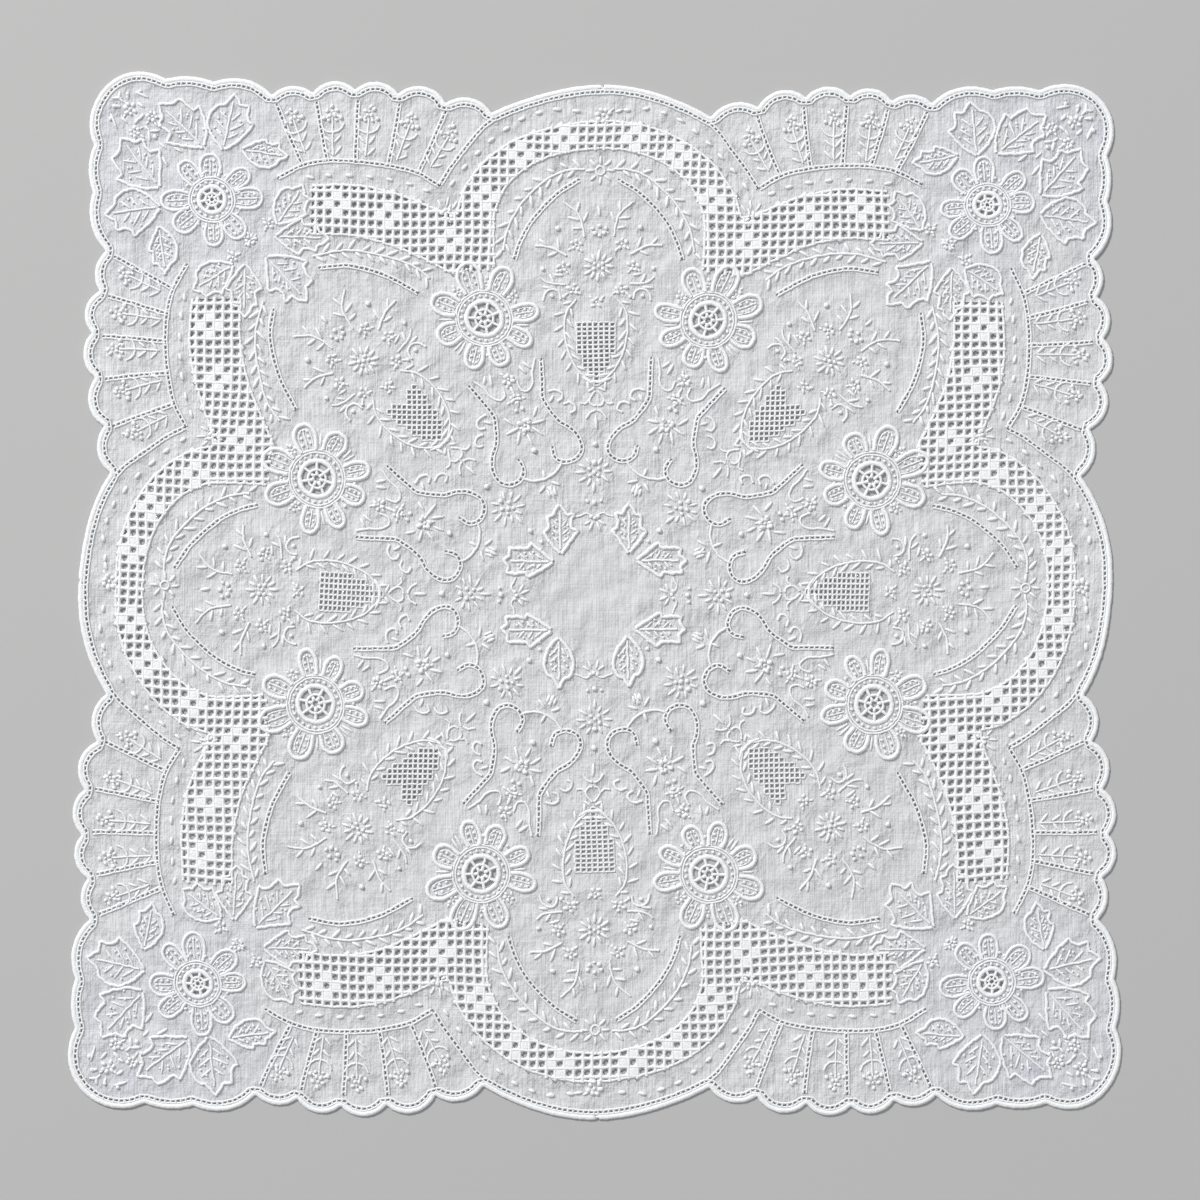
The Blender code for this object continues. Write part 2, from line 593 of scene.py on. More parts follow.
def settle(piece, flatten, lift):
    """Presses a flat-worked piece to its height and sets it on the cloth's lie; lift is in millimetres."""
    mesh = piece.data
    places = np.empty(len(mesh.vertices) * 3)
    mesh.vertices.foreach_get("co", places)
    places = places.reshape(-1, 3) / MM
    places[:, 2] = np.maximum(places[:, 2] * flatten + lift + lie(places[:, :2]), 0.0)
    mesh.vertices.foreach_set("co", (places * MM).ravel())
    mesh.update()


def flat_places(piece):
    """The places of a mesh's corners seen from above, in millimetres."""
    places = np.empty(len(piece.data.vertices) * 3)
    piece.data.vertices.foreach_get("co", places)
    return places.reshape(-1, 3)[:, :2] / MM


def work_cords(name, runs, flatten, lift, material, sides=6, lumps=0.12, wobble=0.09):
    """One mesh of rounded threads. Each run is (pattern places, radius in mm, closed)."""
    thread = bpy.data.curves.new(name, "CURVE")
    thread.dimensions = "3D"
    thread.twist_mode = "Z_UP"
    thread.bevel_depth = MM
    thread.bevel_resolution = (sides - 4) // 2
    thread.use_fill_caps = True
    for places, radius, closed in runs:
        on_cloth = pulled(places)
        spline = thread.splines.new("POLY")
        spline.points.add(len(on_cloth) - 1)
        spline.use_cyclic_u = closed
        spline.use_smooth = True
        for point, (x, y) in zip(spline.points, on_cloth):
            x += chance.uniform(-wobble, wobble)
            y += chance.uniform(-wobble, wobble)
            point.co = (x * MM, y * MM, 0.0, 1.0)
            point.radius = radius * (1.0 + chance.uniform(-lumps, lumps))
    piece = bpy.data.objects.new(name, thread)
    bpy.context.scene.collection.objects.link(piece)
    select_only(piece)
    bpy.ops.object.convert(target="MESH")
    piece = bpy.context.object
    settle(piece, flatten, lift)
    piece.data.materials.clear()
    piece.data.materials.append(material)
    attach(piece, BODY)
    print(f"{name}: {len(runs)} runs, {len(piece.data.polygons)} faces")
    return piece


def finished_unit(piece):
    """A stitch's corners and faces as arrays, with the object removed."""
    mesh = piece.data
    corners = np.empty(len(mesh.vertices) * 3)
    mesh.vertices.foreach_get("co", corners)
    faces = [tuple(face.vertices) for face in mesh.polygons]
    bpy.data.objects.remove(piece)
    return corners.reshape(-1, 3) / MM, faces


def work_stitches(name, unit, places, lift, material):
    """One mesh of a repeated stitch. Each place is (across, up, degrees, length, width, height scale)."""
    corners, faces = unit
    places = np.array(places, float)
    middles = pulled(places[:, :2])
    angles = np.radians(places[:, 2])
    along = corners[None, :, 0] * places[:, 3, None]
    across = corners[None, :, 1] * places[:, 4, None]
    up = corners[None, :, 2] * places[:, 5, None]
    x = middles[:, 0, None] + along * np.cos(angles)[:, None] - across * np.sin(angles)[:, None]
    y = middles[:, 1, None] + along * np.sin(angles)[:, None] + across * np.cos(angles)[:, None]
    base = lie(middles)[:, None] + lift
    joined = np.stack([x, y, np.maximum(base + up, 0.0)], axis=2).reshape(-1, 3) * MM
    size = len(corners)
    all_faces = [tuple(corner + copy * size for corner in face)
                 for copy in range(len(places)) for face in faces]
    mesh = bpy.data.meshes.new(name)
    mesh.from_pydata(joined.tolist(), [], all_faces)
    mesh.update()
    mesh.shade_smooth()
    piece = bpy.data.objects.new(name, mesh)
    bpy.context.scene.collection.objects.link(piece)
    mesh.materials.append(material)
    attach(piece, BODY)
    print(f"{name}: {len(places)} stitches, {len(mesh.polygons)} faces")
    return piece


STITCH_HEIGHT = 0.92


def sown(places, turns=EIGHTHS, turn_slip=8.0, size_slip=0.13):
    """The copies round the cloth of (across, up, degrees, length, width) places, each a little uneven."""
    rows = []
    for across, up, degrees, length, width in places:
        for turn, mirrored in turns:
            x, y = turned((across, up), turn, mirrored)[0]
            angle = (180.0 - degrees if mirrored else degrees) + turn
            rows.append((
                x, y,
                angle + chance.uniform(-turn_slip, turn_slip),
                length * (1.0 + chance.uniform(-size_slip, size_slip)),
                width * (1.0 + chance.uniform(-size_slip, size_slip)),
                width * STITCH_HEIGHT,
            ))
    return rows


# %% [markdown]
# ## The stitches, modelled once
# A satin dash is a ball drawn out to a grain with its belly pressed flat; a knot is a dimpled dome; a
# woven square is a padded tile; a bar binds two ridges across a row of holes; a crossing is a low cone
# over the place where two bars of the grid meet. Each has only a few faces, because it is repeated by
# the hundred.

# %% Unit stitches
def begin_edit(piece):
    """Edit mode on one object, with nothing selected."""
    select_only(piece)
    bpy.ops.object.mode_set(mode="EDIT")
    bpy.ops.mesh.select_all(action="DESELECT")
    return bmesh.from_edit_mesh(piece.data)


def select_where(piece, mesh, test):
    """Selects the corners that pass a test of their place."""
    for corner in mesh.verts:
        corner.select_set(test(corner.co))
    mesh.select_flush_mode()
    bmesh.update_edit_mesh(piece.data)


def satin_dash():
    """A grain one millimetre long and wide, half a millimetre high above its flat belly."""
    bpy.ops.mesh.primitive_uv_sphere_add(segments=6, ring_count=5, radius=0.5 * MM,
                                         rotation=(0, math.pi / 2, 0))
    bpy.ops.object.transform_apply(rotation=True)
    piece = bpy.context.object
    mesh = begin_edit(piece)
    select_where(piece, mesh, lambda place: place.z < -0.1 * MM)
    bpy.ops.transform.resize(value=(1.0, 1.0, 0.3))
    bpy.ops.transform.translate(value=(0, 0, 0.12 * MM))
    bpy.ops.object.mode_set(mode="OBJECT")
    return finished_unit(piece)


def coiled_knot():
    """A dome one millimetre wide with a dimple, as of thread wound round the needle."""
    bpy.ops.mesh.primitive_uv_sphere_add(segments=7, ring_count=5, radius=0.5 * MM)
    piece = bpy.context.object
    mesh = begin_edit(piece)
    select_where(piece, mesh, lambda place: place.z < -0.1 * MM)
    bpy.ops.transform.resize(value=(1.0, 1.0, 0.3))
    bpy.ops.transform.translate(value=(0, 0, 0.14 * MM))
    bpy.ops.mesh.select_all(action="DESELECT")
    mesh = bmesh.from_edit_mesh(piece.data)
    select_where(piece, mesh, lambda place: place.z > 0.49 * MM)
    bpy.ops.transform.translate(value=(0, 0, -0.16 * MM))
    bpy.ops.object.mode_set(mode="OBJECT")
    return finished_unit(piece)


def woven_tile():
    """A padded square one millimetre on each side, its rim sunk and its middle raised."""
    bpy.ops.mesh.primitive_cube_add(size=MM)
    piece = bpy.context.object
    mesh = begin_edit(piece)
    bpy.ops.mesh.select_all(action="SELECT")
    bpy.ops.transform.resize(value=(1.0, 1.0, 0.12))
    bpy.ops.mesh.bevel(offset=0.05 * MM, segments=1)
    bpy.ops.mesh.select_all(action="DESELECT")
    mesh = bmesh.from_edit_mesh(piece.data)
    for face in mesh.faces:
        face.select_set(face.normal.z > 0.99)
    bmesh.update_edit_mesh(piece.data)
    bpy.ops.mesh.inset(thickness=0.2 * MM, depth=0.03 * MM)
    bpy.ops.object.mode_set(mode="OBJECT")
    return finished_unit(piece)


def binding_bar():
    """A bar one millimetre long and wide with sloping sides."""
    bpy.ops.mesh.primitive_cube_add(size=MM)
    piece = bpy.context.object
    mesh = begin_edit(piece)
    select_where(piece, mesh, lambda place: place.z > 0)
    bpy.ops.transform.resize(value=(0.7, 0.4, 1.0))
    bpy.ops.object.mode_set(mode="OBJECT")
    return finished_unit(piece)


def grid_crossing():
    """A low four-sided cone one millimetre from corner to corner, for where two bars are bound together."""
    bpy.ops.mesh.primitive_cone_add(vertices=4, radius1=0.5 * MM, radius2=0.0, depth=0.16 * MM,
                                    location=(0, 0, 0.08 * MM))
    bpy.ops.object.transform_apply(location=True)
    return finished_unit(bpy.context.object)


DASH = satin_dash()
CROSSING = grid_crossing()
BAR = binding_bar()
KNOT = coiled_knot()
TILE = woven_tile()
for label, unit in (("dash", DASH), ("knot", KNOT), ("tile", TILE), ("bar", BAR)):
    print(label, len(unit[1]), "faces,", (unit[0].max(0) - unit[0].min(0)).round(2).tolist(), "mm")

# %% [markdown]
# ## Pin stitch
# Pin stitch is a row of small holes, each pulled open by thread bound tightly on both sides of it. It
# outlines the edge, the arch, the fans and the scrolls. Its holes are real openings in the cloth, so
# they are counted out first; the two bound sides are laid on them later.

# %% Where the pin-stitch holes go
PIN_STEP = 1.65
PIN_HOLE = (0.72, 0.52)
EDGE_PIN_INSET = 2.3

pin_runs = [
    edge_run(EDGE_PIN_INSET, 0.4),
    arch_pin,
    fan_base,
    inner_arch_pin,
    lobe_pin,
] + [straight(outer, inner) for outer, inner in FAN_DIVIDERS]
scroll_runs = [scroll, turned(scroll, -45, mirrored=True)]


def pin_holes(run):
    """The middles and directions of the holes along a run."""
    middles = resample(run, PIN_STEP)
    return middles, directions(middles)


one_eighth_pins = [pin_holes(run) for run in pin_runs + scroll_runs]
pin_middles = np.vstack([middles for middles, _ in one_eighth_pins])
pin_ways = np.vstack([ways for _, ways in one_eighth_pins])
print("pin-stitch holes in one eighth:", len(pin_middles))

# %% [markdown]
# ## The drawn-thread band
# Here the maker draws out threads and binds the rest into a square grid, then weaves some squares solid
# in little diamonds. The band follows the arch and runs on along the corner panel, so its outline is a
# closed shape that is cut from the cloth. The grid always follows the weave, whatever way the band
# goes.

# %% The band's outline
band_outer_arch = ellipse(ARCH_MIDDLE, 45.5, 33.1, 90, 5)
band_top = smooth([(45.4, 120.6), (50.5, 121.8), (57.0, 124.6), (67.0, 127.8), (79.0, 129.4), (92.5, 129.0)])
band_bottom = smooth([(92.5, 113.4), (80.0, 113.7), (68.0, 111.4), (57.0, 106.8), (47.5, 102.0)])
band_inner_arch = ellipse(ARCH_MIDDLE, 34.0, 24.7, 0, 90)
band_inner_leg = smooth([(33.2, 104.0), (33.6, 110.0), (34.0, 118.0)])
band_shape = np.vstack([
    [(-0.6, 151.1)], band_outer_arch, band_top, band_bottom, [(40.0, 102.4)], band_inner_leg,
    band_inner_arch, [(-0.6, 142.7)],
])
BAND_PITCH = 2.8


def inside(shape, points):
    """Which places lie inside a closed outline, by counting the crossings to the right."""
    points = np.asarray(points, float).reshape(-1, 2)
    start = shape
    end = np.roll(shape, -1, axis=0)
    crossings = np.zeros(len(points), int)
    for (x0, y0), (x1, y1) in zip(start, end):
        if y0 == y1:
            continue
        spans = (points[:, 1] >= min(y0, y1)) & (points[:, 1] < max(y0, y1))
        crossing_x = x0 + (points[:, 1] - y0) * (x1 - x0) / (y1 - y0)
        crossings += spans & (crossing_x > points[:, 0])
    return crossings % 2 == 1


print("the band's outline has", len(band_shape), "places in one eighth")

# %% [markdown]
# ## The small nets
# Each side and each corner has a small net: a few rows of square holes, pulled open between whipped
# threads. Like the band, the nets follow the weave.

# %% Net holes
SIDE_NET_TOP = 85.6
SIDE_NET_STEP = (1.78, 1.4)
SIDE_NET_HOLE = (0.9, 0.7)
SIDE_NET_COLUMNS = (4, 4, 4, 4, 4, 4, 4, 3, 3, 3, 2, 2, 1, 1)
CORNER_NET_START = 49.6
CORNER_NET_STEP = 1.6
CORNER_NET_HOLE = (0.86, 0.86)
CORNER_NET_ROWS = (
    # first and last hole of each row as far as the corner line, counted outwards
    (0, 0), (0, 1), (0, 2), (0, 3), (1, 4), (1, 5), (2, 6), (3, 6), (3, 6), (4, 6), (5, 5),
)

side_net = [
    (SIDE_NET_STEP[0] * column, SIDE_NET_TOP - SIDE_NET_STEP[1] * row)
    for row, columns in enumerate(SIDE_NET_COLUMNS) for column in range(columns)
]
corner_net = [
    (CORNER_NET_START + CORNER_NET_STEP * column, CORNER_NET_START + CORNER_NET_STEP * row)
    for row, (first, last) in enumerate(CORNER_NET_ROWS) for column in range(first, last + 1)
    if row >= column
]
print("net holes in one eighth:", len(side_net), "and", len(corner_net))

# %% [markdown]
# ## The linen
# The sheet is one thin skin with every opening in it. One eighth is triangulated between its outline,
# the openings and a grid of points; `delaunay_2d_cdt` does this and keeps every given line. The eighth
# is copied round, pulled to the real cloth's shape, joined along the seams and given its thickness.

# %% Cut the linen
RING_FLOWER = (35.6, 87.6)
CORNER_FLOWER = (124.4, 124.4)
RING_WHEEL_RADIUS = 4.8
CORNER_WHEEL_RADIUS = 3.4
GRID_STEP = 2.6
CLOTH_INSET = 0.5
LINEN_THICKNESS = 0.22

points = []
lines = []


def draw_line(run, closed):
    """Adds a run of places, and the lines between them, to the drawing."""
    first = len(points)
    points.extend(map(tuple, run))
    last = len(points) - 1
    lines.extend((k, k + 1) for k in range(first, last))
    if closed:
        lines.append((last, first))


def rectangle(middle, size, way=(1.0, 0.0)):
    """The corners of a rectangle whose length lies along way."""
    way = np.array(way)
    side = np.array((-way[1], way[0]))
    return [np.array(middle) + a * size[0] / 2 * way + b * size[1] / 2 * side
            for a, b in ((-1, -1), (1, -1), (1, 1), (-1, 1))]


cloth_edge = edge_run(CLOTH_INSET, 1.0)
cloth_shape = np.vstack([[(0.0, 0.0)], [(0.0, cloth_edge[0][1])], cloth_edge,
                         [(cloth_edge[-1].mean(), cloth_edge[-1].mean())]])
draw_line(cloth_shape, closed=True)
draw_line(resample(band_shape, 1.4, closed=True), closed=True)
draw_line(circle(RING_FLOWER, RING_WHEEL_RADIUS, 1.2), closed=True)
draw_line(circle(CORNER_FLOWER, CORNER_WHEEL_RADIUS, 1.2), closed=True)
for middle, way in zip(pin_middles, pin_ways):
    draw_line(rectangle(middle, PIN_HOLE, way), closed=True)
for middle in side_net:
    draw_line(rectangle(middle, SIDE_NET_HOLE), closed=True)
for middle in corner_net:
    draw_line(rectangle(middle, CORNER_NET_HOLE), closed=True)
for row in range(int(HALF_SIDE / GRID_STEP) + 2):
    for column in range(row + 1):
        points.append((column * GRID_STEP, row * GRID_STEP))

drawn = delaunay_2d_cdt([Vector(point) for point in points], lines, [], 0, 1e-5)
cut_points = np.array([tuple(point) for point in drawn[0]])
cut_faces = np.array([face for face in drawn[2] if len(face) == 3])
middles = cut_points[cut_faces].mean(axis=1)


def in_rectangles(places, rect_middles, rect_ways, size):
    """Which places lie inside any of many rectangles."""
    found = np.zeros(len(places), bool)
    for middle, way in zip(rect_middles, rect_ways):
        offset = places - middle
        along = np.abs(offset @ way)
        across = np.abs(offset @ np.array((-way[1], way[0])))
        found |= (along < size[0] / 2) & (across < size[1] / 2)
    return found


upright = np.array((1.0, 0.0))
kept = inside(cloth_shape, middles) & ~inside(band_shape, middles)
kept &= np.linalg.norm(middles - RING_FLOWER, axis=1) > RING_WHEEL_RADIUS * 0.97
kept &= np.linalg.norm(middles - CORNER_FLOWER, axis=1) > CORNER_WHEEL_RADIUS * 0.97
kept &= ~in_rectangles(middles, pin_middles, pin_ways, PIN_HOLE)
kept &= ~in_rectangles(middles, side_net, [upright] * len(side_net), SIDE_NET_HOLE)
kept &= ~in_rectangles(middles, corner_net, [upright] * len(corner_net), CORNER_NET_HOLE)
one_eighth = cut_faces[kept]
print("one eighth of the linen:", len(one_eighth), "triangles")

# %% Join the linen
cloth_points = []
cloth_faces = []
for degrees, mirrored in EIGHTHS:
    first = len(cloth_points) * len(cut_points)
    cloth_points.append(turned(cut_points, degrees, mirrored))
    faces = one_eighth + first
    cloth_faces.append(faces[:, ::-1] if mirrored else faces)
cloth_points = np.vstack(cloth_points)
on_cloth = pulled(cloth_points)
heights = lie(on_cloth)
linen_mesh = bpy.data.meshes.new("linen_cloth")
linen_mesh.from_pydata((np.column_stack([on_cloth, heights]) * MM).tolist(), [],
                       np.vstack(cloth_faces).tolist())
linen_cloth = bpy.data.objects.new("linen_cloth", linen_mesh)
bpy.context.scene.collection.objects.link(linen_cloth)

begin_edit(linen_cloth)
bpy.ops.mesh.select_all(action="SELECT")
bpy.ops.mesh.remove_doubles(threshold=0.02 * MM)
bpy.ops.mesh.delete_loose()
bpy.ops.mesh.select_all(action="SELECT")
bpy.ops.mesh.normals_make_consistent(inside=False)
bpy.ops.object.mode_set(mode="OBJECT")
thickness = linen_cloth.modifiers.new("thickness", "SOLIDIFY")
thickness.thickness = LINEN_THICKNESS * MM
thickness.offset = -1.0
bpy.ops.object.modifier_apply(modifier="thickness")
linen_cloth.data.materials.append(linen)
linen_cloth.data.shade_flat()
cloth_area = sum(face.area for face in linen_cloth.data.polygons) / 2
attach(linen_cloth, BODY)
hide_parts(SHEET_NODE)
print(f"linen: {len(linen_cloth.data.polygons)} faces, {cloth_area * 1e4:.0f} square cm of cloth")

# %% [markdown]
# ## A motif is a small drawing of stitches
# Flowers, sprigs and leaves are drawn once, about their own middle with outwards as +Y, as cords,
# dashes and knots. A motif can be added to a bigger one at any place and turn, so a medallion is built
# from stars, florets and sprays, and the whole is worked in one go.

# %% Motifs
class Motif:
    """Cords, satin dashes and knots, in millimetres about the motif's own middle."""

    def __init__(self):
        self.cords = []
        self.dashes = []
        self.knots = []

    def cord(self, run, radius, closed=False):
        """A cord along a run of places."""
        self.cords.append((np.array(run, float), radius, closed))

    def dash(self, start, end, width=0.85):
        """A satin dash from start to end."""
        way = np.subtract(end, start)
        middle = np.add(start, end) / 2
        degrees = math.degrees(math.atan2(way[1], way[0]))
        self.dashes.append((*middle, degrees, float(np.linalg.norm(way)), width))

    def ray(self, middle, degrees, inner, outer, width=0.85):
        """A dash that points away from a middle."""
        way = np.array((math.cos(math.radians(degrees)), math.sin(math.radians(degrees))))
        self.dash(np.add(middle, inner * way), np.add(middle, outer * way), width)

    def knot(self, across, up, size=1.1):
        """A knot of a given width."""
        self.knots.append((across, up, 0.0, size, size))

    def curve(self, places, step, radius):
        """A cord along a smooth curve through a few places."""
        self.cord(smooth(places, step), radius)

    def dash_each(self, pairs, width):
        """A satin dash between each pair of places."""
        for start, end in pairs:
            self.dash(start, end, width)

    def knot_each(self, spots):
        """A knot at each (across, up, width)."""
        for across, up, size in spots:
            self.knot(across, up, size)

    def add(self, other, middle=(0.0, 0.0), degrees=0.0, mirrored=False):
        """Adds another motif's stitches at a place and turn."""
        shift = np.array(middle, float)
        for run, radius, closed in other.cords:
            self.cords.append((turned(run, degrees, mirrored) + shift, radius, closed))
        for mine, theirs in ((self.dashes, other.dashes), (self.knots, other.knots)):
            for across, up, angle, length, width in theirs:
                x, y = turned((across, up), degrees, mirrored)[0] + shift
                angle = (180.0 - angle if mirrored else angle) + degrees
                mine.append((x, y, angle, length, width))
        return self


CORD_LIFT = 0.2
DASH_LIFT = 0.15
KNOT_LIFT = 0.2


def work(name, motif, turns, lift=-0.05, flatten=0.85, sides=6, dash=DASH, wobble=0.11):
    """Works a motif at all its turns round the cloth: its cords, its dashes and its knots."""
    made = []
    if motif.cords:
        runs = [(copy, radius, closed) for run, radius, closed in motif.cords
                for copy in copies(run, turns)]
        made.append(work_cords(name + "_cords", runs, flatten, lift + CORD_LIFT, cotton, sides,
                               wobble=wobble))
    if motif.dashes:
        made.append(work_stitches(name + "_dashes", dash, sown(motif.dashes, turns), lift + DASH_LIFT,
                                  cotton))
    if motif.knots:
        made.append(work_stitches(name + "_knots", KNOT, sown(motif.knots, turns), lift + KNOT_LIFT, cotton))
    return made


def along_path(run, distance):
    """The place and direction, in degrees, at a distance along a run."""
    lengths = np.linalg.norm(np.diff(run, axis=0), axis=1)
    travelled = np.concatenate([[0.0], np.cumsum(lengths)])
    place = np.array([np.interp(distance, travelled, run[:, k]) for k in (0, 1)])
    ahead = np.array([np.interp(distance + 0.5, travelled, run[:, k]) for k in (0, 1)])
    behind = np.array([np.interp(distance - 0.5, travelled, run[:, k]) for k in (0, 1)])
    way = ahead - behind
    return place, math.degrees(math.atan2(way[1], way[0]))


def run_length(run):
    """The length of a run of places."""
    return float(np.linalg.norm(np.diff(run, axis=0), axis=1).sum())


# %% [markdown]
# ## The scalloped edge
# The cloth's edge is bound all round in close satin stitch over padding, which makes a bright raised
# cord nearly two millimetres wide. One closed run follows all the scallops, and the thread is laid
# along it a little flattened. The run is pulled to shape after it has been joined from its eight parts.

# %% Edge
EDGE_WIDTH = 1.72


def all_round(run):
    """The whole round of the cloth, clockwise from the top middle, from one eighth."""
    parts = []
    for quarter in range(4):
        parts.append(turned(run, -90 * quarter))
        parts.append(turned(run, -90 * (quarter + 1), mirrored=True)[::-1])
    return resample(np.vstack(parts), 0.75, closed=True)


edge_cord = all_round(edge_run(EDGE_WIDTH / 2 - 0.1, 0.4))
scalloped_edge = work_cords("scalloped_edge", [(edge_cord, EDGE_WIDTH / 2, True)], 0.58, -0.1, cotton,
                            sides=8, lumps=0.07, wobble=0.06)

# %% [markdown]
# ## Binding the pin stitch
# On each side of a row of holes the thread makes a thin ridge, and between two holes it crosses over.
# Both ridges are cords set a little to either side; the crossings are short dashes.

# %% Pin-stitch binding
PIN_SIDE = 0.57
PIN_CORD = 0.32


def bound(runs):
    """The binding of some rows of pin stitch: a ridge on each side and a bar between two holes."""
    binding = Motif()
    for run in runs:
        even = resample(run, 1.25)
        for side in (-PIN_SIDE, PIN_SIDE):
            binding.cord(beside(even, side), PIN_CORD)
        spots, ways = pin_holes(run)
        for spot, next_spot, way in zip(spots, spots[1:], ways):
            across = np.array((-way[1], way[0])) * PIN_SIDE * 1.1
            between = (spot + next_spot) / 2
            binding.dash(between - across, between + across, 0.55)
    return binding


work("pin_stitch", bound(pin_runs), EIGHTHS, sides=4, dash=BAR)
work("scroll_pin_stitch", bound([scroll]), SIXTEENTHS, sides=4, dash=BAR)

# %% Net threads
NET_CORD = 0.27
AROUND = ((-1, -1), (0, -1.05), (1, -1), (1.05, 0), (1, 1), (0, 1.05), (-1, 1), (-1.05, 0))


def whipped(middles, step):
    """A thread round each hole of a net."""
    net = Motif()
    for x, y in middles:
        round_hole = [(x + a * step[0] / 2, y + b * step[1] / 2) for a, b in AROUND]
        net.cord(round_hole, NET_CORD, closed=True)
    return net


off_middle = [place for place in side_net if place[0] > 0]
on_middle = [place for place in side_net if place[0] == 0]
work("side_net", whipped(off_middle, SIDE_NET_STEP), EIGHTHS, sides=4)
work("side_net_middle", whipped(on_middle, SIDE_NET_STEP), QUARTERS, sides=4)
work("corner_net", whipped(corner_net, (CORNER_NET_STEP, CORNER_NET_STEP)), EIGHTHS, sides=4)

# %% [markdown]
# ## The drawn-thread grid
# The bars run the full length of the band's opening, so each line of the grid is clipped to the
# band's outline by testing places along it. Where two bars cross they are bound together, which rounds
# the corners of the holes. Solid squares are woven round single open ones.

# %% Grid bars
BAR_RADIUS = 0.57
CROSSING_SIZE = 3.7
TILE_SIZE = BAND_PITCH * 1.14
BAND_CORD = 0.42


def clipped(run, shape):
    """The stretches of a run that lie inside an outline."""
    within = inside(shape, run)
    stretches = []
    start = None
    for index, is_in in enumerate(within):
        if is_in and start is None:
            start = index
        if start is not None and (not is_in or index == len(run) - 1):
            stretches.append(run[max(start - 1, 0):index + 1])
            start = None
    return [stretch for stretch in stretches if len(stretch) > 3]


grid = Motif()
grid_lines = [(k + 0.5) * BAND_PITCH for k in range(-1, int(HALF_SIDE / BAND_PITCH))]
reach = np.arange(-BAND_PITCH / 2, HALF_SIDE, BAND_PITCH / 4)
for line in grid_lines:
    upright_run = np.column_stack([np.full(len(reach), line), reach])
    level_run = np.column_stack([reach, np.full(len(reach), line)])
    for run in (upright_run, level_run):
        for stretch in clipped(run, band_shape):
            grid.cord(np.vstack([stretch[:-1:3], stretch[-1:]]), BAR_RADIUS)
work("drawn_grid", grid, EIGHTHS, lift=-0.15, wobble=0.13)

crossings = np.array([(across, up) for across in grid_lines for up in grid_lines])
crossings = crossings[inside(band_shape, crossings)]
bound_crossings = [(across, up, 0.0, CROSSING_SIZE, CROSSING_SIZE) for across, up in crossings]
work_stitches("grid_crossings", CROSSING, sown(bound_crossings, size_slip=0.1), 0.0, cotton)

# %% Woven squares
DIAMONDS = (
    # column and row of the open square in the middle of each diamond, counted in grid squares
    (30, 44), (24, 43), (17, 40), (13, 45), (9, 50), (4, 52),
)
tiles = []
for column, row in DIAMONDS:
    for step_across, step_up in ((1, 0), (-1, 0), (0, 1), (0, -1)):
        tiles.append(((column + step_across) * BAND_PITCH, (row + step_up) * BAND_PITCH, 0.0,
                      TILE_SIZE, TILE_SIZE))
work_stitches("woven_squares", TILE, sown(tiles, turn_slip=4, size_slip=0.06), 0.2, cotton)

# %% Band edges
band_edges = Motif()
inner_line = np.vstack([band_inner_leg, band_inner_arch])
for line in (band_outer_arch, band_top, band_bottom, inner_line):
    band_edges.cord(resample(line, 0.9), BAND_CORD)
work("band_edge", band_edges, EIGHTHS, lift=-0.1, wobble=0.16)

# %% [markdown]
# ## Ring flowers
# Eight flowers cover the places where the bands end, and a smaller one sits in each corner. The middle
# is an open wheel of needle lace in a thick satin ring; outside it is a thin ring, with seed knots
# between the two, and petals outlined in a raised cord with finer lines and seeds inside.

# %% Flower parts
def outwards(degrees, reach):
    """The place at a distance from a motif's middle, in a direction in degrees."""
    angle = math.radians(degrees)
    return reach * math.cos(angle), reach * math.sin(angle)


def petal(foot, reach, half_width, cord_radius):
    """A petal, open at its foot, with a vein and seeds inside."""
    share = np.linspace(0, 1, 10)
    along = foot + (reach - foot) * np.sin(share * math.pi / 2)
    across = half_width * (0.72 + 0.42 * np.sin(share * math.pi)) * np.cos(share * math.pi / 2) ** 0.6
    flank = np.column_stack([across, along])
    motif = Motif()
    motif.cord(resample(np.vstack([flank, (flank * (-1, 1))[-2::-1]]), 0.9), cord_radius)
    inner = np.column_stack([across * 0.6, foot + (along - foot) * 0.82])[:-1]
    for side in (1, -1):
        motif.cord(resample(inner * (side, 1), 1.1), 0.2)
    motif.cord(straight((0, foot + 0.8), (0, reach - 2.4), 1.2), 0.24)
    for side in (1, -1):
        for part in (0.25, 0.5, 0.72):
            motif.knot(side * half_width * 0.36, foot + (reach - foot) * part, 1.05)
    motif.knot(0.0, reach - 1.9, 0.95)
    return motif


def flower(petal_turns, foot, reach, half_width, hole, ring_width, cord_radius):
    """A ring flower about its own middle."""
    motif = Motif()
    for degrees, longer, wider in petal_turns:
        motif.add(petal(foot, reach * longer, half_width * wider, cord_radius), degrees=degrees - 90)
    motif.cord(circle((0, 0), foot - 0.1, 1.0), 0.32, closed=True)
    motif.cord(circle((0, 0), foot - 0.9, 1.0), 0.32, closed=True)
    seed_circle = (hole + ring_width + foot - 1.0) / 2
    seeds = int(2 * math.pi * seed_circle / 1.9)
    for seed in range(seeds):
        angle = 2 * math.pi * seed / seeds
        motif.knot(seed_circle * math.cos(angle), seed_circle * math.sin(angle), 1.1)
    return motif


def satin_ring(hole, width):
    """The close satin ring round a wheel."""
    motif = Motif()
    motif.cord(circle((0, 0), hole + width / 2, 0.8), width / 2, closed=True)
    return motif


